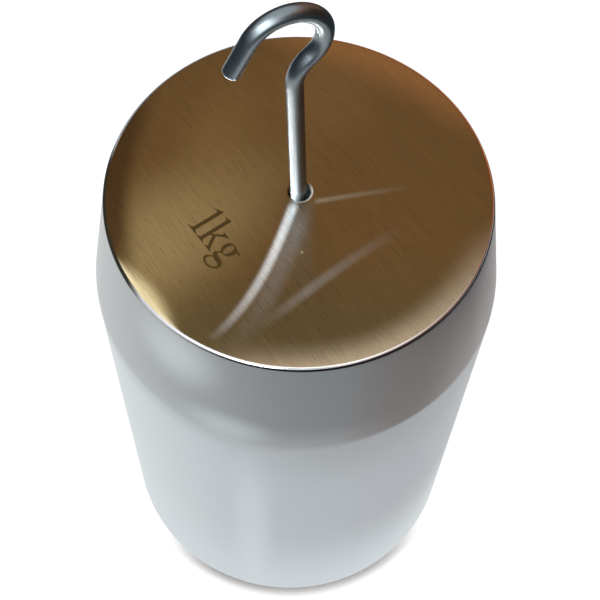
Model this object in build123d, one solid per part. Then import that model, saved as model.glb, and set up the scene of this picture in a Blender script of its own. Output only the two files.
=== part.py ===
from build123d import *
import math
import os

os.makedirs("parts", exist_ok=True)

# Weight body, turned from round bar
top_diameter = 42.0
body_diameter = 47.0
body_height = 74.2
shoulder_depth = 15.2        # sloping band under the top face
edge_radius = 0.5            # polished round on the top and bottom edges

# Hook, bent from one wire with an upset head at its hidden end
wire_diameter = 1.8
shank_rise = 19.5            # straight wire above the top face
lower_bend_radius = 4.4      # to the wire's centre line, as is the loop's
lower_bend_angle = 51.5
loop_radius = 3.9
loop_angle = 202.0
tail_length = 4.1
tip_radius = 0.35
head_diameter = 4.4
head_thickness = 1.8
head_chamfer = 0.25

# How the hook is held: a short neck hole, a bore from below and a plug
hole_clearance = 0.3         # radial, shank to hole
lean_gap = 0.17              # left between shank and hole where the hook leans
neck_length = 6.0
mouth_chamfer = 0.15
head_side_gap = 1.3
head_float = 0.3             # head to the neck above it
head_rest_gap = 0.3          # head to the plug below it
plug_recess = 0.3
plug_chamfer = 0.4

hole_diameter = wire_diameter + 2 * hole_clearance
bore_diameter = head_diameter + 2 * head_side_gap
bore_depth = body_height - neck_length
hook_lean = math.degrees(math.atan(2 * (hole_clearance - lean_gap) / neck_length))

# Body: half profile revolved about Z, then the bore and the neck hole
profile = make_face(
    Polyline(
        (0, 0),
        (body_diameter / 2, 0),
        (body_diameter / 2, body_height - shoulder_depth),
        (top_diameter / 2, body_height),
        (0, body_height),
        (0, 0),
    )
)
blank = revolve(Plane.XZ * profile, Axis.Z)
rims = blank.edges().filter_by(GeomType.CIRCLE).sort_by(Axis.Z)
blank = fillet([rims[0], rims[-1]], edge_radius)

bore = Pos(0, 0, bore_depth / 2) * Cylinder(bore_diameter / 2, bore_depth)
hole = Pos(0, 0, body_height - neck_length / 2) * Cylinder(hole_diameter / 2, neck_length)
mouth = Pos(0, 0, body_height - mouth_chamfer / 2) * Cone(
    hole_diameter / 2, hole_diameter / 2 + mouth_chamfer, mouth_chamfer
)
lead_in = Pos(0, 0, plug_chamfer / 2) * Cone(
    bore_diameter / 2 + plug_chamfer, bore_diameter / 2, plug_chamfer
)
weight_body = blank - bore - hole - mouth - lead_in

# Hook: drawn upright about the middle of the neck, then leant over there
head_top = -(neck_length / 2 + head_float)
shank = Line((0, head_top - head_thickness / 2), (0, neck_length / 2 + shank_rise))
lower_bend = JernArc(shank @ 1, shank % 1, lower_bend_radius, -lower_bend_angle)
loop = JernArc(lower_bend @ 1, lower_bend % 1, loop_radius, loop_angle)
tail = Line(loop @ 1, (loop @ 1) + (loop % 1) * tail_length)
route = Plane.XZ * (shank + lower_bend + loop + tail)
section = Plane(origin=(0, 0, head_top - head_thickness / 2)) * Circle(wire_diameter / 2)
wire = sweep(section, path=route)
tip = Plane.XZ * Vertex(*(tail @ 1))
tip_edges = wire.faces().sort_by_distance(tip.center())[0].edges()
wire = fillet(tip_edges, tip_radius)

head = Pos(0, 0, head_top - head_thickness / 2) * Cylinder(head_diameter / 2, head_thickness)
head = chamfer(head.edges().filter_by(GeomType.CIRCLE), head_chamfer)
hook = Pos(0, 0, body_height - neck_length / 2) * Rot(0, -hook_lean, 0) * (wire + head)

# Core plug: pressed into the bore from below, it holds the head up in place
plug_top = bore_depth - head_float - head_thickness - head_rest_gap
plug_length = plug_top - plug_recess
core_plug = Pos(0, 0, plug_recess + plug_length / 2) * Cylinder(bore_diameter / 2, plug_length)
core_plug = chamfer(core_plug.edges().filter_by(GeomType.CIRCLE), plug_chamfer)

for name, solid in (
    ("weight_body", weight_body),
    ("hook", hook),
    ("core_plug", core_plug),
):
    export_step(solid, f"parts/{name}.step")
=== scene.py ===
import math

import bmesh
import bpy
from mathutils import Matrix, Vector


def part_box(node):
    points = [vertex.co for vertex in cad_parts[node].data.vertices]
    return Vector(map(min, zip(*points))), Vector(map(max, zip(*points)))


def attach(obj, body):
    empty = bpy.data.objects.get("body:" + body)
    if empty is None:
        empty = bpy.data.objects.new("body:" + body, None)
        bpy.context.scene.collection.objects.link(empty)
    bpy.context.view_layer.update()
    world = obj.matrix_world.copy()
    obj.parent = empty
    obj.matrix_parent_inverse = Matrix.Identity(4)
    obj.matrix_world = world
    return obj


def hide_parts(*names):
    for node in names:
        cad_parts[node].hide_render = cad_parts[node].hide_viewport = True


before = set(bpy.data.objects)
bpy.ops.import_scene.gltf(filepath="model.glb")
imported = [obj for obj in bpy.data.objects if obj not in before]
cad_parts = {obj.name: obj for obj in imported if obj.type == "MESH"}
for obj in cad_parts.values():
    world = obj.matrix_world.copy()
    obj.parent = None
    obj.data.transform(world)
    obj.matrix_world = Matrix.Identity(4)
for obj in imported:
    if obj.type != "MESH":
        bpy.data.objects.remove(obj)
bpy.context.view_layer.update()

# --- Weight body --------------------------------------------------------------
# One solid piece of stainless steel bar, turned to shape: a flat foot, a plain cylinder, a
# shoulder that slopes in and a flat top. The top is brushed one way and its edge polished.

mm = 0.001
body_radius = 23.5 * mm
top_radius = 21.0 * mm
face_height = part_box("weight_body")[1].z
shoulder_height = face_height - 15.2 * mm
shoulder_blend = 0.7 * mm
edge_round = 0.5 * mm
edge_roll = 1.6 * mm  # the brushing wheel dips this far in from the edge
edge_drop = 0.03 * mm  # and this deep
hole_radius = 1.2 * mm
mouth_chamfer = 0.15 * mm
neck_bottom = face_height - 6.0 * mm
bore_radius = 3.5 * mm
lead_in = 0.4 * mm
steps_round = 288
crisp_bend = math.radians(25)
same_point = 0.001 * mm  # points nearer than this are one


def linear(colour):
    """An sRGB hex colour as linear red, green, blue and alpha."""
    parts = [int(colour[i : i + 2], 16) / 255 for i in (1, 3, 5)]
    return [p / 12.92 if p <= 0.04045 else ((p + 0.055) / 1.055) ** 2.4 for p in parts] + [1]


def add_node(tree, kind, inputs, out=0, **settings):
    """Adds a node with its settings, links or fills its inputs, and returns one output."""
    node = tree.nodes.new(kind)
    for name, value in settings.items():
        setattr(node, name, value)
    for key, value in inputs.items():
        if isinstance(value, bpy.types.NodeSocket):
            tree.links.new(value, node.inputs[key])
        else:
            node.inputs[key].default_value = value
    return node.outputs[out] if len(node.outputs) else node


def bare_tree(holder):
    """The emptied node tree of a new material or world."""
    holder.use_nodes = True
    holder.node_tree.nodes.clear()
    return holder.node_tree


def new_metal(name):
    """A new metal: the material, its node tree, its shader node and the place on a piece in mm."""
    material = bpy.data.materials.new(name)
    tree = bare_tree(material)
    surface = add_node(tree, "ShaderNodeBsdfPrincipled", {"Metallic": 1.0})
    add_node(tree, "ShaderNodeOutputMaterial", {"Surface": surface})
    place = add_node(tree, "ShaderNodeTexCoord", {}, "Object")
    place = add_node(tree, "ShaderNodeMapping", {"Vector": place, "Scale": (1000, 1000, 1000)})
    return material, tree, surface.node, place


def rise(tree, place, way, low, high, strength=1.0):
    """How strongly a finish shows along a way over the piece, from low to high in mm."""
    far = {0: place, 1: way}
    far = add_node(tree, "ShaderNodeVectorMath", far, "Value", operation="DOT_PRODUCT")
    inputs = {"Value": far, "From Min": low, "From Max": high, "To Max": strength}
    return add_node(tree, "ShaderNodeMapRange", inputs, interpolation_type="SMOOTHSTEP")


def heading(degrees):
    """The level way that points to a heading round the weight."""
    return math.cos(math.radians(degrees)), math.sin(math.radians(degrees)), 0


def axis_distance(tree, place):
    """How far a place stands from the upright axis."""
    flat = add_node(tree, "ShaderNodeVectorMath", {0: place, 1: (1, 1, 0)}, operation="MULTIPLY")
    return add_node(tree, "ShaderNodeVectorMath", {0: flat}, "Value", operation="LENGTH")


def new_object(name, data):
    """Puts a new object in the scene, at the origin."""
    fresh = bpy.data.objects.new(name, data)
    bpy.context.scene.collection.objects.link(fresh)
    return fresh


def plain_mesh(rough):
    """The mesh that an object's modifiers or its curve make."""
    made = rough.evaluated_get(bpy.context.evaluated_depsgraph_get())
    return bpy.data.meshes.new_from_object(made)


def evenly(start, end, count):
    """Points evenly spaced from a start, which is left out, to an end."""
    shares = [k / count for k in range(1, count + 1)]
    return [(start[0] + (end[0] - start[0]) * s, start[1] + (end[1] - start[1]) * s) for s in shares]


def round_corner(centre, start, end, count):
    """Points round a corner of the edge's radius, from one angle to another."""
    turns = [start + (end - start) * k / count for k in range(count + 1)]
    return [
        (centre[0] + edge_round * math.cos(t), centre[1] + edge_round * math.sin(t)) for t in turns
    ]


# The outline of half a section, in order: the hole's mouth, the top, the flank, the foot, the bore.
slope = math.atan2(body_radius - top_radius, face_height - shoulder_height)
flat_end = top_radius - edge_round * math.tan((math.pi / 2 - slope) / 2)
roll_start = flat_end - edge_roll
mouth_radius = hole_radius + mouth_chamfer
outline = [(hole_radius, face_height - mouth_chamfer), (mouth_radius, face_height)]
outline += evenly((mouth_radius, face_height), (roll_start, face_height), 12)
for share in (1 / 6, 1 / 3, 1 / 2, 2 / 3, 5 / 6):
    outline.append((roll_start + edge_roll * share, face_height - edge_drop * share**2))
edge_centre = (flat_end, face_height - edge_drop - edge_round)
outline += round_corner(edge_centre, math.pi / 2, slope, 12)
band_top = outline[-1]
band_foot = (
    body_radius - shoulder_blend * math.sin(slope),
    shoulder_height + shoulder_blend * math.cos(slope),
)
# One narrow strip under the round keeps the round's soft shading off the slope.
outline += evenly(band_top, band_foot, 30)[:1]
outline += evenly(outline[-1], band_foot, 4)
for share in (0.25, 0.5, 0.75, 1.0):
    ease = (1 - share) ** 2
    outline.append(
        (
            body_radius - (body_radius - band_foot[0]) * ease,
            shoulder_height + (band_foot[1] - shoulder_height) * ease - shoulder_blend * share**2,
        )
    )
strip = 0.3 * mm
foot_top = edge_round + strip
foot_start = body_radius - edge_round - strip
foot_end = bore_radius + lead_in
outline += evenly(outline[-1], (body_radius, foot_top), 8)
outline += round_corner((body_radius - edge_round, edge_round), 0, -math.pi / 2, 8)
outline.append((foot_start, 0))
outline += evenly((foot_start, 0), (foot_end, 0), 6)
outline.append((bore_radius, lead_in))
outline += evenly((bore_radius, lead_in), (bore_radius, neck_bottom), 6)
outline.append((hole_radius, neck_bottom))

section = bpy.data.meshes.new("body_section")
section.from_pydata([(r, 0, z) for r, z in outline], [], [])


def turning_tree(flank, edge, face, turned):
    """Turns a section's points round the upright axis into a solid, and dresses its faces."""
    tree = bpy.data.node_groups.new("turned_body", "GeometryNodeTree")
    sockets = tree.interface
    sockets.new_socket("Section", in_out="INPUT", socket_type="NodeSocketGeometry")
    sockets.new_socket("Steps Round", in_out="INPUT", socket_type="NodeSocketInt")
    for name in ("Band Height", "Brushed Height", "Brushed Radius", "Bore Radius", "Foot Height"):
        sockets.new_socket(name, in_out="INPUT", socket_type="NodeSocketFloat")
    sockets.new_socket("Solid", in_out="OUTPUT", socket_type="NodeSocketGeometry")
    given = add_node(tree, "NodeGroupInput", {}).node.outputs
    count = add_node(tree, "GeometryNodeAttributeDomainSize", {0: given["Section"]})
    rows = add_node(tree, "ShaderNodeMath", {0: count, 1: 1.0}, operation="ADD")
    columns = add_node(tree, "ShaderNodeMath", {0: given["Steps Round"], 1: 1.0}, operation="ADD")
    sheet = {"Size X": 2 * math.pi, "Size Y": count, "Vertices X": columns, "Vertices Y": rows}
    solid = add_node(tree, "GeometryNodeMeshGrid", sheet)
    spot = add_node(tree, "GeometryNodeInputPosition", {})
    spot = add_node(tree, "ShaderNodeSeparateXYZ", {0: spot}).node.outputs
    step = {0: count, 1: 0.5, 2: spot["Y"]}
    step = add_node(tree, "ShaderNodeMath", step, operation="MULTIPLY_ADD")
    step = add_node(tree, "ShaderNodeMath", {0: step}, operation="ROUND")
    step = add_node(tree, "ShaderNodeMath", {0: step, 1: count}, operation="MODULO")
    there = add_node(tree, "GeometryNodeInputPosition", {})
    point = {"Geometry": given["Section"], "Value": there, "Index": step}
    point = add_node(tree, "GeometryNodeSampleIndex", point, data_type="FLOAT_VECTOR")
    point = {"Vector": point, "Angle": spot["X"]}
    point = add_node(tree, "ShaderNodeVectorRotate", point, rotation_type="Z_AXIS")
    solid = add_node(tree, "GeometryNodeSetPosition", {"Geometry": solid, "Position": point})
    seam = {"Geometry": solid, "Distance": same_point}
    solid = add_node(tree, "GeometryNodeMergeByDistance", seam)
    solid = add_node(tree, "GeometryNodeFlipFaces", {0: solid})
    solid = add_node(tree, "GeometryNodeSetShadeSmooth", {0: solid})
    bend = add_node(tree, "GeometryNodeInputMeshEdgeAngle", {})
    sharp = {0: bend, 1: crisp_bend}
    sharp = add_node(tree, "FunctionNodeCompare", sharp, operation="GREATER_THAN")
    sharp = {0: solid, "Selection": sharp, "Shade Smooth": False}
    solid = add_node(tree, "GeometryNodeSetShadeSmooth", sharp, domain="EDGE")
    solid = add_node(tree, "GeometryNodeRealizeInstances", {0: solid})
    middle = add_node(tree, "GeometryNodeInputPosition", {})
    level = add_node(tree, "ShaderNodeSeparateXYZ", {0: middle}, "Z")
    radius = axis_distance(tree, middle)
    high = {0: level, 1: given["Band Height"]}
    high = add_node(tree, "FunctionNodeCompare", high, operation="GREATER_THAN")
    top = {0: level, 1: given["Brushed Height"]}
    top = add_node(tree, "FunctionNodeCompare", top, operation="GREATER_THAN")
    inner = {0: radius, 1: given["Brushed Radius"]}
    inner = add_node(tree, "FunctionNodeCompare", inner, operation="LESS_THAN")
    brushed = add_node(tree, "FunctionNodeBooleanMath", {0: top, 1: inner}, operation="AND")
    bored = {0: radius, 1: given["Bore Radius"]}
    bored = add_node(tree, "FunctionNodeCompare", bored, operation="LESS_THAN")
    bored = add_node(tree, "FunctionNodeBooleanMath", {0: bored, 1: top}, operation="NIMPLY")
    under = {0: level, 1: given["Foot Height"]}
    under = add_node(tree, "FunctionNodeCompare", under, operation="LESS_THAN")
    hidden = add_node(tree, "FunctionNodeBooleanMath", {0: bored, 1: under}, operation="OR")
    for pick, material in ((None, flank), (high, edge), (brushed, face), (hidden, turned)):
        dress = {"Geometry": solid, "Material": material}
        if pick:
            dress["Selection"] = pick
        solid = add_node(tree, "GeometryNodeSetMaterial", dress)
    add_node(tree, "NodeGroupOutput", {0: solid})
    return tree


def soft_patch(tree, place, centre, turn, reach, strength):
    """How strongly a soft oval patch shows, from its centre out to its reach three ways."""
    inputs = {"Vector": place, "Location": centre, "Scale": reach}
    inputs["Rotation"] = (0, 0, math.radians(turn))
    laid = add_node(tree, "ShaderNodeMapping", inputs, vector_type="TEXTURE")
    ball = add_node(tree, "ShaderNodeTexGradient", {0: laid}, "Fac", gradient_type="SPHERICAL")
    inputs = {"Value": ball, "To Max": strength}
    return add_node(tree, "ShaderNodeMapRange", inputs, interpolation_type="SMOOTHERSTEP")


def rim_glow(tree, place, turn, side, radii, strength):
    """How strongly a painted light or shade shows toward the edge of the top, on the side of one
    heading.
    """
    toward = rise(tree, place, heading(turn), side[0], side[1], strength)
    inputs = {"Value": axis_distance(tree, place), "From Min": radii[0], "From Max": radii[1]}
    outward = add_node(tree, "ShaderNodeMapRange", inputs, interpolation_type="SMOOTHSTEP")
    return add_node(tree, "ShaderNodeMath", {0: toward, 1: outward}, operation="MULTIPLY")


def highlight_streak(tree, place, start, turn, bow, width, fade, strength):
    """How strongly a painted highlight streak shows: it bows, and fades from its fullest place both
    ways.
    """
    inputs = {"Vector": place, "Location": (*start, 0), "Rotation": (0, 0, math.radians(turn))}
    laid = add_node(tree, "ShaderNodeMapping", inputs, vector_type="TEXTURE")
    laid = add_node(tree, "ShaderNodeSeparateXYZ", {0: laid}).node.outputs
    cube = add_node(tree, "ShaderNodeMath", {0: laid["X"], 1: 3.0}, operation="POWER")
    off = {0: cube, 1: -bow, 2: laid["Y"]}
    off = add_node(tree, "ShaderNodeMath", off, operation="MULTIPLY_ADD")
    off = add_node(tree, "ShaderNodeMath", {0: off}, operation="ABSOLUTE")
    inputs = {"Value": off, "From Min": width, "From Max": 0.0, "To Max": strength}
    bell = add_node(tree, "ShaderNodeMapRange", inputs, interpolation_type="SMOOTHERSTEP")
    begin, full, end = fade
    inputs = {"Value": laid["X"], "From Min": begin, "From Max": full}
    fade_in = add_node(tree, "ShaderNodeMapRange", inputs, interpolation_type="SMOOTHSTEP")
    inputs = {"Value": laid["X"], "From Min": end, "From Max": full}
    fade_out = add_node(tree, "ShaderNodeMapRange", inputs)
    both = add_node(tree, "ShaderNodeMath", {0: fade_in, 1: fade_out}, operation="MULTIPLY")
    return add_node(tree, "ShaderNodeMath", {0: bell, 1: both}, operation="MULTIPLY")


# Brushed stainless steel, toned warm brown: one-way strokes of a belt, with painted highlights,
# reflections and shade laid over them.
face_steel, tree, surface, place = new_metal("brushed_brown_steel")
stroke_heading = -77
stroke_width = 0.085  # mm; real strokes are near 0.05, drawn coarser so that they show
stroke_length = 2.6  # mm
swath_width = 0.7  # mm
swath_length = 8.7  # mm
top_mm = face_height / mm
along_strokes = {"Vector": place, "Rotation": (0, 0, math.radians(stroke_heading))}
along_strokes["Scale"] = (stroke_length, stroke_width, 1)
stroke_lay = add_node(tree, "ShaderNodeMapping", along_strokes, vector_type="TEXTURE")
strokes = {"Vector": stroke_lay, "Scale": 1.0, "Detail": 3.0, "Roughness": 0.6}
strokes = add_node(tree, "ShaderNodeTexNoise", strokes)
along_strokes["Scale"] = (swath_length, swath_width, 1)
swath_lay = add_node(tree, "ShaderNodeMapping", along_strokes, vector_type="TEXTURE")
swaths = add_node(tree, "ShaderNodeTexNoise", {"Vector": swath_lay, "Scale": 1.0, "Detail": 2.0})
# Painted shade: the top is darker and greyer toward the front.
front_shade = rise(tree, place, heading(245), 4, 20)
tone = {0: front_shade, 6: linear("#64492A"), 7: linear("#57482E")}
tone = add_node(tree, "ShaderNodeMix", tone, 2, data_type="RGBA")
# Painted highlights, broad soft reflections of the lamps: centre, heading, reach along and across in
# mm, strength, colour.
for x, y, turn, long, wide, strength, colour in (
    (-17.4, -0.4, 14, 25, 11, 0.95, "#8B754D"),
    (-6.0, 9.0, 50, 15, 7, 0.35, "#806639"),
    (7.5, 11.0, 50, 12, 10, 0.4, "#785A34"),
):
    amount = soft_patch(tree, place, (x, y, top_mm), turn, (long, wide, 9), strength)
    tone = {0: amount, 6: tone, 7: linear(colour)}
    tone = add_node(tree, "ShaderNodeMix", tone, 2, data_type="RGBA")
# Painted light and shade toward the edge: a painted shade on the left, painted warm and pale
# reflections on the right and front, and a painted glint: heading, reach on that side, radii in mm,
# strength, colour.
for turn, side, radii, strength, colour in (
    (154, (15.5, 19.3), (16.6, 19.6), 0.95, "#45301A"),
    (38, (14, 20), (13, 20.5), 0.85, "#8E6238"),
    (275, (11.5, 20.5), (17.2, 21), 0.85, "#AC9A80"),
    (196, (19.8, 20.5), (18.9, 20.5), 1.0, "#F2E4C0"),
):
    tone = {0: rim_glow(tree, place, turn, side, radii, strength), 6: tone, 7: linear(colour)}
    tone = add_node(tree, "ShaderNodeMix", tone, 2, data_type="RGBA")
# A painted glint, the brightest spot of the painted reflection at the edge.
glint = soft_patch(tree, place, (-19.6, -5.5, top_mm), 106, (6.5, 2.0, 9), 0.8)
tone = {0: glint, 6: tone, 7: linear("#D8C596")}
tone = add_node(tree, "ShaderNodeMix", tone, 2, data_type="RGBA")
# Painted highlight streaks, where light thrown off the wire shows in the top: start, heading, bow,
# half width, begin, fullest place and end in mm.
for x, y, turn, bow, width, fade, strength, colour in (
    (-0.5, -1.2, -111, 0.0, 2.2, (-0.4, 0.4, 12), 0.35, "#7B786C"),
    (-1.35, -2.95, -129, -0.0005, 1.9, (-2.2, 1.5, 17), 0.42, "#989893"),
    (-10.2, -13.53, 19, -0.000167, 0.95, (-1.0, 7.2, 19), 0.40, "#96918A"),
    (0.47, -1.71, -11.3, -0.00017, 0.5, (0.2, 1.0, 11), 0.30, "#B3AC98"),
    (-2.17, -2.41, -131.75, -0.00062, 0.85, (-2.2, -0.6, 16.5), 1.0, "#FAFCFA"),
):
    streak_light = highlight_streak(tree, place, (x, y), turn, bow, width, fade, strength)
    tone = {0: streak_light, 6: tone, 7: linear(colour)}
    tone = add_node(tree, "ShaderNodeMix", tone, 2, data_type="RGBA")
# A painted highlight on the near side of the hole's mouth, where its chamfer catches the light.
mouth_glint_from = 1.5  # mm from the axis
mouth_glint_to = 1.34
mouth = {"Value": axis_distance(tree, place), "From Min": mouth_glint_from, "From Max": mouth_glint_to}
mouth["To Max"] = 0.95
mouth = add_node(tree, "ShaderNodeMapRange", mouth)
near_side = rise(tree, place, heading(-70), -0.3, 0.9)
mouth = add_node(tree, "ShaderNodeMath", {0: mouth, 1: near_side}, operation="MULTIPLY")
tone = {0: mouth, 6: tone, 7: linear("#F4F4F0")}
tone = add_node(tree, "ShaderNodeMix", tone, 2, data_type="RGBA")
# Small nicks, a few on the whole top, painted bright as glints that catch the light.
nick_spacing = 2.9  # mm
nick_size = 0.2  # mm
nick_share = 0.2  # the share of the places that has a nick
flat = add_node(tree, "ShaderNodeVectorMath", {0: place, 1: (1, 1, 0)}, operation="MULTIPLY")
nick_lay = {"Vector": flat, "Scale": (1 / nick_spacing,) * 3}
nick_lay = add_node(tree, "ShaderNodeMapping", nick_lay)
nicks = add_node(tree, "ShaderNodeTexVoronoi", {"Vector": nick_lay, "Scale": 1.0})
rarely = add_node(tree, "ShaderNodeSeparateXYZ", {0: nicks.node.outputs["Color"]})
rarely = add_node(tree, "ShaderNodeMath", {0: rarely, 1: nick_share}, operation="LESS_THAN")
nicks = {"Value": nicks, "From Min": nick_size / nick_spacing, "From Max": 0.0}
nicks = add_node(tree, "ShaderNodeMapRange", nicks)
nicks = add_node(tree, "ShaderNodeMath", {0: nicks, 1: rarely}, operation="MULTIPLY")
tone = {0: nicks, 6: tone, 7: linear("#E6DFB8")}
tone = add_node(tree, "ShaderNodeMix", tone, 2, data_type="RGBA")
# The strokes and the wider swaths lighten and darken every tone alike.
darkest_grain = 0.53
swath_depth = 0.2
stroke_depth = 0.74
stroke_matt = 0.71
# Roughness under the last painted highlight streak.
streak_matt = 0.2
grain = {0: swaths, 1: swath_depth, 2: darkest_grain}
grain = add_node(tree, "ShaderNodeMath", grain, operation="MULTIPLY_ADD")
grain = {0: strokes, 1: stroke_depth, 2: grain}
grain = add_node(tree, "ShaderNodeMath", grain, operation="MULTIPLY_ADD")
tone = add_node(tree, "ShaderNodeVectorMath", {0: tone, "Scale": grain}, operation="SCALE")
tree.links.new(tone, surface.inputs["Base Color"])
matt = add_node(tree, "ShaderNodeMath", {0: strokes, 1: stroke_matt}, operation="MULTIPLY")
matt = add_node(tree, "ShaderNodeMix", {0: streak_light, 2: matt, 3: streak_matt}, data_type="FLOAT")
tree.links.new(matt, surface.inputs["Roughness"])
surface.inputs["Anisotropic"].default_value = 0.6
grain_way = dict(enumerate(heading(stroke_heading)))
grain_way = add_node(tree, "ShaderNodeCombineXYZ", grain_way)
tree.links.new(grain_way, surface.inputs["Tangent"])

# Polished stainless steel: the edge was run on a mop, so it mirrors the room in thin lines, with
# painted reflections added.
edge_steel, tree, surface, place = new_metal("polished_edge_steel")
mottle = add_node(tree, "ShaderNodeTexNoise", {"Vector": place, "Scale": 0.8, "Detail": 2.0})
tone = {0: mottle, 6: linear("#BFBFC3"), 7: linear("#D2D2D6")}
tone = add_node(tree, "ShaderNodeMix", tone, 2, data_type="RGBA")
# A painted warm reflection on the right and a painted dark reflection on the far left: heading,
# reach on that side in mm, colour.
for turn, low, high, colour in ((20, 9, 17, "#BC885E"), (168, 18.2, 19.6, "#3C372C")):
    tone = {0: rise(tree, place, heading(turn), low, high), 6: tone, 7: linear(colour)}
    tone = add_node(tree, "ShaderNodeMix", tone, 2, data_type="RGBA")
# A painted dark reflection in the foot of the round, on the front and right.
black_from = 0.15  # mm under the top
black_full = 0.2
black = rise(tree, place, (0, 0, -1), black_from - top_mm, black_full - top_mm)
black = {0: black, 1: rise(tree, place, heading(285), 2, 12)}
black = add_node(tree, "ShaderNodeMath", black, operation="MULTIPLY")
tone = {0: black, 6: tone, 7: linear("#1C1820")}
tone = add_node(tree, "ShaderNodeMix", tone, 2, data_type="RGBA")
tree.links.new(tone, surface.inputs["Base Color"])
polished_matt = 0.12
worn_more = 0.42
worn = {0: rise(tree, place, heading(185), 10, 17), 1: worn_more, 2: polished_matt}
worn = add_node(tree, "ShaderNodeMath", worn, operation="MULTIPLY_ADD")
tree.links.new(worn, surface.inputs["Roughness"])

# Satin stainless steel: fine blasted and wiped, so it glows softly with a faint cloudy grain, under
# painted shading and reflections.
flank_steel, tree, surface, place = new_metal("satin_flank_steel")
up = (0, 0, 1)
right = heading(-25)
satin_matt = 0.3
cloud_matt = 0.08
cloud = {"Vector": place, "Scale": 0.25, "Detail": 4.0, "Roughness": 0.6}
cloud = add_node(tree, "ShaderNodeTexNoise", cloud)
# Painted shading of the shoulder and of the wall under it: darker near the top edge, lighter on the
# left, darker on the right and lighter toward the foot, each along a way, from and to in mm.
band_tone = {0: rise(tree, place, up, 63.5, 59.5), 6: linear("#777B7E"), 7: linear("#8C8F91")}
band_tone = add_node(tree, "ShaderNodeMix", band_tone, 2, data_type="RGBA")
for way, low, high, colour in (
    (right, 4, -22, "#A4A9AA"),
    (right, 2, 14, "#68625F"),
    (right, 14, 21.5, "#857C79"),
):
    band_tone = {0: rise(tree, place, way, low, high), 6: band_tone, 7: linear(colour)}
    band_tone = add_node(tree, "ShaderNodeMix", band_tone, 2, data_type="RGBA")
wall_tone = {0: rise(tree, place, right, -24, 6), 6: linear("#BBC4C7"), 7: linear("#A0A6AB")}
wall_tone = add_node(tree, "ShaderNodeMix", wall_tone, 2, data_type="RGBA")
for way, low, high, colour in ((right, 3, 20, "#8B9198"), (up, 30, 0, "#BCC5C9")):
    wall_tone = {0: rise(tree, place, way, low, high), 6: wall_tone, 7: linear(colour)}
    wall_tone = add_node(tree, "ShaderNodeMix", wall_tone, 2, data_type="RGBA")
# A painted shade under the shoulder and a pale upright painted reflection: centre, heading, reach,
# strength, colour.
for centre, turn, reach, strength, colour in (
    ((6.1, -22.7, 60), 285, (30, 34, 20), 0.75, "#868A8D"),
    ((-13.8, -19.0, 28), 234, (6, 4, 40), 0.3, "#D6DEE2"),
):
    amount = soft_patch(tree, place, centre, turn, reach, strength)
    wall_tone = {0: amount, 6: wall_tone, 7: linear(colour)}
    wall_tone = add_node(tree, "ShaderNodeMix", wall_tone, 2, data_type="RGBA")
# The painted shade of the shoulder ends crisply at its bend on the right and fades softly down the
# wall on the left.
crisp_half = 0.3  # mm below and above the shoulder's bend
soft_below = 5.0  # mm more below it on the left, where the painted shade fades softly
soft_above = 2.0
shoulder_mm = shoulder_height / mm
soft_shading_side = rise(tree, place, right, 14, -16)
level = add_node(tree, "ShaderNodeSeparateXYZ", {0: place}, "Z")
lower = {0: soft_shading_side, 1: -soft_below, 2: shoulder_mm - crisp_half}
lower = add_node(tree, "ShaderNodeMath", lower, operation="MULTIPLY_ADD")
upper = {0: soft_shading_side, 1: soft_above, 2: shoulder_mm + crisp_half}
upper = add_node(tree, "ShaderNodeMath", upper, operation="MULTIPLY_ADD")
on_band = {"Value": level, "From Min": lower, "From Max": upper}
on_band = add_node(tree, "ShaderNodeMapRange", on_band, interpolation_type="SMOOTHSTEP")
tone = {0: on_band, 6: wall_tone, 7: band_tone}
tone = add_node(tree, "ShaderNodeMix", tone, 2, data_type="RGBA")
# Two painted pale reflections, on the shoulder and just under it on the left.
for centre, turn, reach, strength, colour in (
    ((-18.6, -10.9, 70.5), 210, (6, 8.0, 7.5), 0.55, "#CCD2D3"),
    ((-15.6, -16.8, 61.0), 227, (5, 7.5, 4.0), 0.55, "#BDC5C8"),
):
    amount = soft_patch(tree, place, centre, turn, reach, strength)
    tone = {0: amount, 6: tone, 7: linear(colour)}
    tone = add_node(tree, "ShaderNodeMix", tone, 2, data_type="RGBA")
grain = add_node(tree, "ShaderNodeMapRange", {"Value": cloud, "To Min": 0.89, "To Max": 0.99})
tone = add_node(tree, "ShaderNodeVectorMath", {0: tone, "Scale": grain}, operation="SCALE")
tree.links.new(tone, surface.inputs["Base Color"])
matt = {0: cloud, 1: cloud_matt, 2: satin_matt}
matt = add_node(tree, "ShaderNodeMath", matt, operation="MULTIPLY_ADD")
tree.links.new(matt, surface.inputs["Roughness"])


def turned_finish(name, ring_pitch, dark, light):
    """Turned steel: rings of the lathe tool at a pitch in mm, between two tones."""
    material, tree, surface, place = new_metal(name)
    rings = {"W": axis_distance(tree, place), "Scale": 1 / ring_pitch}
    rings = add_node(tree, "ShaderNodeTexNoise", rings, noise_dimensions="1D")
    tone = {0: rings, 6: linear(dark), 7: linear(light)}
    tone = add_node(tree, "ShaderNodeMix", tone, 2, data_type="RGBA")
    tree.links.new(tone, surface.inputs["Base Color"])
    matt = {0: rings, 1: 0.2, 2: 0.25}
    matt = add_node(tree, "ShaderNodeMath", matt, operation="MULTIPLY_ADD")
    tree.links.new(matt, surface.inputs["Roughness"])
    return material


# Turned stainless steel: fine rings of the lathe tool, left under the foot and in the bore.
foot_pitch = 0.4  # mm; real ones are near 0.1, drawn coarser so that they show
turned_steel = turned_finish("turned_foot_steel", foot_pitch, "#8C8F91", "#BFC2C4")

rough_body = new_object("rough_body", section)
lathe = rough_body.modifiers.new("lathe", "NODES")
lathe.node_group = turning_tree(flank_steel, edge_steel, face_steel, turned_steel)
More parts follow.
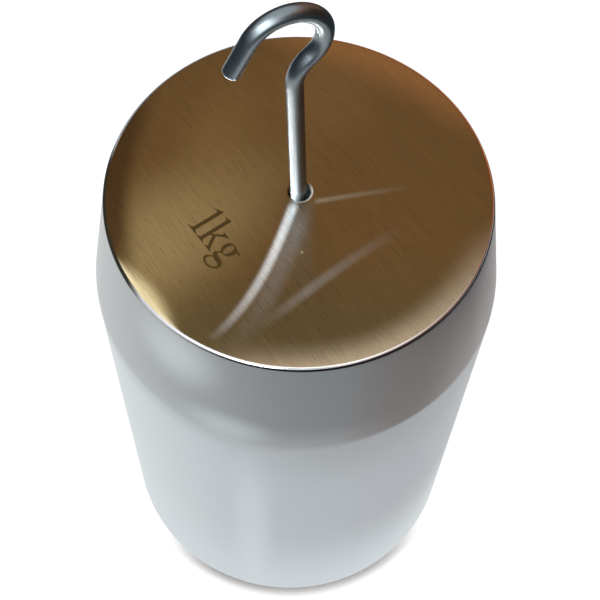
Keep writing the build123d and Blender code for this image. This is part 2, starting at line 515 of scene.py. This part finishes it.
# Each finish ends a little past the edge of its own faces.
given_sizes = {
    "Steps Round": steps_round,
    "Band Height": band_top[1] + 0.12 * mm,
    "Brushed Height": face_height - 0.1 * mm,
    "Brushed Radius": flat_end + 0.1 * mm,
    "Bore Radius": foot_end,
    "Foot Height": 0.02 * mm,
}
for socket in lathe.node_group.interface.items_tree:
    if socket.name in given_sizes:
        lathe[socket.identifier] = given_sizes[socket.name]
weight_solid = new_object("weight_solid", plain_mesh(rough_body))
rough_body.modifiers.remove(lathe)
bpy.data.objects.remove(rough_body)
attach(weight_solid, "weight")
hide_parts("weight_body")

# --- Core plug ----------------------------------------------------------------
# A plain steel slug pressed up the bore from below, which keeps the hook's head in.

# Turned steel: close rings of a facing cut, which catch the light as one fine bright fan.
plug_pitch = 0.17  # mm
plug_steel = turned_finish("turned_plug_steel", plug_pitch, "#7E8184", "#B4B7BA")
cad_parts["core_plug"].data.materials.clear()
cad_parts["core_plug"].data.materials.append(plug_steel)

# --- Hook ---------------------------------------------------------------------
# Drawn stainless wire, bent cold to a shepherd's crook and polished. Its upset head sits
# loose in the bore under the neck, so that it turns.

# Polished wire: bright but a little hazed by handling, so its highlights have soft ends.
wire_steel, tree, surface, place = new_metal("polished_wire_steel")
haze = add_node(tree, "ShaderNodeTexNoise", {"Vector": place, "Scale": 0.6, "Detail": 3.0})
tone = {0: haze, 6: linear("#7A858B"), 7: linear("#8B959B")}
tone = add_node(tree, "ShaderNodeMix", tone, 2, data_type="RGBA")
tree.links.new(tone, surface.inputs["Base Color"])
wire_matt = 0.29
haze_matt = 0.06
matt = {0: haze, 1: haze_matt, 2: wire_matt}
matt = add_node(tree, "ShaderNodeMath", matt, operation="MULTIPLY_ADD")
tree.links.new(matt, surface.inputs["Roughness"])
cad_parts["hook"].data.materials.clear()
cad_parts["hook"].data.materials.append(wire_steel)

# --- Mass mark ----------------------------------------------------------------
# The nominal mass, etched dark into the top in plain serif figures.

em = 5.0 * mm  # one letter unit
tall = 1.13  # the letters' height over that of their drawing
mark_start = Vector((-12.615, 1.085, 0)) * mm
mark_turn = math.radians(-76.7)
mark_proud = 0.012 * mm


def ellipse(x, y, rx, ry, count):
    """Points round an ellipse, in letter units."""
    turns = [2 * math.pi * k / count for k in range(count)]
    return [(x + rx * math.cos(t), y + ry * math.sin(t)) for t in turns]


figure_one = [
    (0.10, 0), (0.38, 0), (0.38, 0.02), (0.33, 0.028), (0.295, 0.05), (0.285, 0.09),
    (0.285, 0.70), (0.27, 0.70), (0.10, 0.61), (0.105, 0.592), (0.16, 0.61), (0.19, 0.605),
    (0.20, 0.575), (0.20, 0.09), (0.19, 0.05), (0.155, 0.028), (0.10, 0.02),
]
letter_k = [
    (0.01, 0), (0.235, 0), (0.235, 0.02), (0.19, 0.028), (0.168, 0.05), (0.165, 0.09),
    (0.165, 0.205), (0.205, 0.24), (0.335, 0.075), (0.35, 0.045), (0.335, 0.025), (0.30, 0.02),
    (0.30, 0), (0.505, 0), (0.505, 0.02), (0.465, 0.03), (0.43, 0.055), (0.265, 0.285),
    (0.36, 0.37), (0.41, 0.41), (0.465, 0.435), (0.465, 0.455), (0.28, 0.455), (0.28, 0.435),
    (0.315, 0.43), (0.32, 0.41), (0.30, 0.38), (0.165, 0.25), (0.165, 0.70), (0.15, 0.70),
    (0.005, 0.665), (0.005, 0.648), (0.055, 0.645), (0.078, 0.62), (0.08, 0.58), (0.08, 0.09),
    (0.077, 0.05), (0.055, 0.028), (0.01, 0.02),
]
letter_g = [
    (0.325, 0.425), (0.46, 0.425), (0.46, 0.385), (0.375, 0.385), (0.375, 0.31), (0.354, 0.236),
    (0.295, 0.182), (0.20, 0.160), (0.15, 0.135), (0.135, 0.105), (0.155, 0.085), (0.20, 0.078),
    (0.33, 0.07), (0.40, 0.045), (0.44, 0.0), (0.44, -0.045), (0.42, -0.115), (0.36, -0.175),
    (0.27, -0.21), (0.19, -0.215), (0.10, -0.20), (0.045, -0.165), (0.03, -0.12),
    (0.045, -0.075), (0.085, -0.035), (0.13, -0.005), (0.085, 0.025), (0.065, 0.055),
    (0.075, 0.09), (0.11, 0.13), (0.135, 0.165), (0.102, 0.205), (0.076, 0.236), (0.055, 0.31),
    (0.076, 0.384), (0.135, 0.438), (0.215, 0.458), (0.295, 0.438),
]
g_bowl = ellipse(0.213, 0.31, 0.073, 0.125, 20)
g_loop = [
    (0.155, -0.010), (0.30, -0.022), (0.37, -0.035), (0.385, -0.07), (0.36, -0.12),
    (0.29, -0.165), (0.20, -0.178), (0.12, -0.16), (0.09, -0.12), (0.10, -0.07), (0.13, -0.03),
]
letters = bpy.data.curves.new("letters", "CURVE")
letters.dimensions = "2D"
letters.fill_mode = "BOTH"
letters.extrude = mark_proud
k_start = 0.40
g_start = 0.88
for shift, points in (
    (0, figure_one),
    (k_start, letter_k),
    (g_start, letter_g),
    (g_start, g_bowl),
    (g_start, g_loop),
):
    line = letters.splines.new("POLY")
    line.points.add(len(points) - 1)
    for spot, (x, y) in zip(line.points, points):
        spot.co = ((x + shift) * em, y * em * tall, 0, 1)
    line.use_cyclic_u = True
drawn_letters = new_object("drawn_letters", letters)
mass_mark = new_object("mass_mark", plain_mesh(drawn_letters))
bpy.data.objects.remove(drawn_letters)
mark_place = Matrix.Translation(mark_start + Vector((0, 0, face_height)))
mass_mark.data.transform(mark_place @ Matrix.Rotation(mark_turn, 4, "Z"))
# The two faces and the rim between them share their points.
joined = bmesh.new()
joined.from_mesh(mass_mark.data)
bmesh.ops.remove_doubles(joined, verts=joined.verts, dist=same_point)
joined.to_mesh(mass_mark.data)
joined.free()
mass_mark.data.shade_flat()

# Etched steel: the acid leaves it dark and a little rougher, with the brushing still faint in it.
mark_steel, tree, surface, place = new_metal("etched_dark_steel")
stroke_lay = {"Vector": place, "Rotation": (0, 0, math.radians(stroke_heading))}
stroke_lay["Scale"] = (stroke_length, stroke_width, 1)
stroke_lay = add_node(tree, "ShaderNodeMapping", stroke_lay, vector_type="TEXTURE")
strokes = add_node(tree, "ShaderNodeTexNoise", {"Vector": stroke_lay, "Scale": 1.0, "Detail": 3.0})
tone = {0: strokes, 6: linear("#3A2D17"), 7: linear("#5A4828")}
tone = add_node(tree, "ShaderNodeMix", tone, 2, data_type="RGBA")
tree.links.new(tone, surface.inputs["Base Color"])
surface.inputs["Roughness"].default_value = 0.5
mass_mark.data.materials.clear()
mass_mark.data.materials.append(mark_steel)
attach(mass_mark, "weight")

# --- Floor and room -----------------------------------------------------------
# A plain white table top, and round it a pale tent with dark cloth at its foot, which only
# the polished metal mirrors.

floor_half = 1.5
floor_mesh = bpy.data.meshes.new("floor")
corners = [(-1, -1), (1, -1), (1, 1), (-1, 1)]
floor_mesh.from_pydata([(x * floor_half, y * floor_half, 0) for x, y in corners], [], [(0, 1, 2, 3)])
floor = new_object("floor", floor_mesh)


def seen_or_mirrored(tree, rays):
    """1 where a surface is looked at, mirrored or seen through glass, and 0 where it lights."""
    seen = {0: rays["Is Camera Ray"], 1: rays["Is Glossy Ray"]}
    seen = add_node(tree, "ShaderNodeMath", seen, operation="MAXIMUM")
    seen = {0: seen, 1: rays["Is Transmission Ray"]}
    return add_node(tree, "ShaderNodeMath", seen, operation="MAXIMUM")


# White paper: it glows as a lit white table does, with a painted contact shadow where the weight
# sits on it, deepest toward the front.
paper = bpy.data.materials.new("white_paper")
paper_glow = 0.8
tree = bare_tree(paper)
rays = add_node(tree, "ShaderNodeLightPath", {}).node.outputs
painted_contact_shadow = {"Distance": 3 * mm}
painted_contact_shadow = add_node(tree, "ShaderNodeAmbientOcclusion", painted_contact_shadow, "AO", samples=12)
place = add_node(tree, "ShaderNodeTexCoord", {}, "Object")
shade_side = rise(tree, place, heading(250), 12 * mm, 21 * mm)
painted_contact_shadow = {"Value": painted_contact_shadow, "From Min": 0.87, "From Max": 0.5}
painted_contact_shadow = add_node(tree, "ShaderNodeMapRange", painted_contact_shadow, interpolation_type="SMOOTHSTEP")
painted_contact_shadow = add_node(tree, "ShaderNodeMath", {0: painted_contact_shadow, 1: shade_side}, operation="MULTIPLY")
painted_contact_shadow = {0: painted_contact_shadow, 1: rays["Is Camera Ray"]}
painted_contact_shadow = add_node(tree, "ShaderNodeMath", painted_contact_shadow, operation="MULTIPLY")
glow = {0: painted_contact_shadow, 6: linear("#FFFFFF"), 7: linear("#554541")}
glow = add_node(tree, "ShaderNodeMix", glow, 2, data_type="RGBA")
lit = {0: seen_or_mirrored(tree, rays), 1: paper_glow}
lit = add_node(tree, "ShaderNodeMath", lit, operation="MULTIPLY")
glow = add_node(tree, "ShaderNodeEmission", {"Color": glow, "Strength": lit})
matt = add_node(tree, "ShaderNodeBsdfDiffuse", {"Color": linear("#949494")})
both = add_node(tree, "ShaderNodeAddShader", {0: matt, 1: glow})
add_node(tree, "ShaderNodeOutputMaterial", {"Surface": both})
floor_mesh.materials.append(paper)

room_radius = 1.35
cloth_lift = 1 * mm
cloth_steps = 96
bare_radius = 0.15  # the table is bare this far out, and less on the right
bare_less = 0.08
cloth_height = 0.85  # the cloth hangs up the tent's side this high, and higher on the right
cloth_more = 1.0
cloth_points = []
cloth_faces = []
for k in range(cloth_steps):
    turn = 2 * math.pi * k / cloth_steps
    bare = bare_radius - bare_less * max(0, math.cos(turn + math.radians(10)))
    top = cloth_height + cloth_more * max(0, math.cos(turn + math.radians(25)))
    for r, z in ((bare, cloth_lift), (room_radius, cloth_lift), (room_radius, top)):
        cloth_points.append((r * math.cos(turn), r * math.sin(turn), z))
    n = (k + 1) % cloth_steps
    cloth_faces.append((3 * k, 3 * k + 1, 3 * n + 1, 3 * n))
    cloth_faces.append((3 * k + 1, 3 * k + 2, 3 * n + 2, 3 * n + 1))
cloth_mesh = bpy.data.meshes.new("dark_cloth")
cloth_mesh.from_pydata(cloth_points, [], cloth_faces)
cloth = new_object("dark_cloth", cloth_mesh)

# Dark cloth, seen only in the metal, glows with its own tones: blue-grey on the left and brown on
# the right, with a painted warm light where the tent's light meets it.
dark_cloth = bpy.data.materials.new("dark_cloth")
tree = bare_tree(dark_cloth)
place = add_node(tree, "ShaderNodeTexCoord", {}, "Object")
tone = {0: rise(tree, place, heading(5), 0.0, 0.9), 6: linear("#39454B"), 7: linear("#4E3628")}
tone = add_node(tree, "ShaderNodeMix", tone, 2, data_type="RGBA")
tone = {0: rise(tree, place, heading(32), 1.12, 1.33), 6: tone, 7: linear("#B07E62")}
tone = add_node(tree, "ShaderNodeMix", tone, 2, data_type="RGBA")
tone = {0: rise(tree, place, (0, 0, 1), 0.8, 1.25), 6: tone, 7: linear("#C98F6C")}
tone = add_node(tree, "ShaderNodeMix", tone, 2, data_type="RGBA")
glow = add_node(tree, "ShaderNodeEmission", {"Color": tone, "Strength": 1.0})
add_node(tree, "ShaderNodeOutputMaterial", {"Surface": glow})
cloth_mesh.materials.append(dark_cloth)
cloth.visible_camera = False
cloth.visible_diffuse = False
cloth.visible_shadow = False

# The tent is white to the eye and in the metal, and a little dimmer as light.
world = bpy.data.worlds.new("pale_tent")
bpy.context.scene.world = world
light_level = 0.75
tree = bare_tree(world)
rays = add_node(tree, "ShaderNodeLightPath", {}).node.outputs
level = {0: seen_or_mirrored(tree, rays), 1: 1 - light_level, 2: light_level}
level = add_node(tree, "ShaderNodeMath", level, operation="MULTIPLY_ADD")
sky = add_node(tree, "ShaderNodeBackground", {"Color": linear("#FFFFFF"), "Strength": level})
add_node(tree, "ShaderNodeOutputWorld", {"Surface": sky})

# --- Lamps --------------------------------------------------------------------
# A soft window and an overhead for all but the wire, and lamps linked to one piece each, so
# that a light which shapes the wire doesn't blow out the top.

wire_only = bpy.data.collections.new("wire_only")
wire_only.objects.link(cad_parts["hook"])


def soft_lamp(name, place, size, power):
    """A square soft lamp that looks at the weight."""
    data = bpy.data.lights.new(name, "AREA")
    data.size = size
    data.energy = power
    lamp = new_object(name, data)
    lamp.location = place
    aim = Vector((0, 0, face_height)) - lamp.location
    lamp.rotation_euler = aim.to_track_quat("-Z", "Y").to_euler()
    return lamp


window = soft_lamp("window", (-0.56, -0.45, 0.75), 0.42, 6.0)
overhead = soft_lamp("overhead", (0.1, -0.1, 1.1), 0.5, 1.5)

# Two lights for the wire alone: a broad pane from its open side, and a wide sun from below.
pane = soft_lamp("pane", (-0.57, -0.67, 0.71), 1.9, 17.5)
pane.data.shape = "RECTANGLE"
pane.data.size_y = 0.62
pane_lean = math.radians(-41)
pane.rotation_euler.rotate_axis("Z", pane_lean)
kicker_data = bpy.data.lights.new("kicker", "SUN")
kicker_data.energy = 2.9
kicker_data.angle = math.radians(47)
kicker_data.cycles.use_multiple_importance_sampling = False
kicker = new_object("kicker", kicker_data)
kicker_way = Vector((0.165, -0.054, 0.985))
kicker.rotation_euler = kicker_way.to_track_quat("-Z", "Y").to_euler()
for lamp in (pane, kicker):
    lamp.light_linking.receiver_collection = wire_only
    lamp.light_linking.blocker_collection = wire_only
# A low ring of panels for the weight alone: level with it, its sides would mirror only cloth.
weight_only = bpy.data.collections.new("weight_only")
weight_only.objects.link(weight_solid)
ring_radius = 0.16
ring_height = 0.062
panel_width = 0.1325
panel_height = 0.12
panel_power = 0.025
for turn in range(0, 360, 45):
    spot = Vector(heading(turn)) * ring_radius + Vector((0, 0, ring_height))
    panel = soft_lamp("panel_%d" % turn, spot, panel_width, panel_power)
    panel.data.shape = "RECTANGLE"
    panel.data.size_y = panel_height
    panel.light_linking.receiver_collection = weight_only
    panel.light_linking.blocker_collection = weight_only
# The window and the overhead leave the wire to its own two.
all_but_wire = bpy.data.collections.new("all_but_wire")
all_but_wire.objects.link(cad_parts["hook"])
for lamp in (window, overhead):
    lamp.light_linking.receiver_collection = all_but_wire
all_but_wire.collection_objects[0].light_linking.link_state = "EXCLUDE"

# --- Camera -------------------------------------------------------------------
# It stands close above the weight on the hook's open side and looks steeply down.

camera_data = bpy.data.cameras.new("camera")
camera_data.sensor_width = 36
camera_data.lens = 77.96
camera_data.clip_start = 0.01
camera = new_object("camera", camera_data)
camera.location = Vector((-31.313, -67.150, 192.635)) * mm
look = Vector((0.19691, 0.41334, -0.88903))
lean = math.radians(2.77)
tilt = Matrix.Rotation(lean, 4, "Z")
camera.rotation_euler = (look.to_track_quat("-Z", "Y").to_matrix().to_4x4() @ tilt).to_euler()
bpy.context.scene.camera = camera
bpy.context.scene.view_settings.view_transform = "Standard"
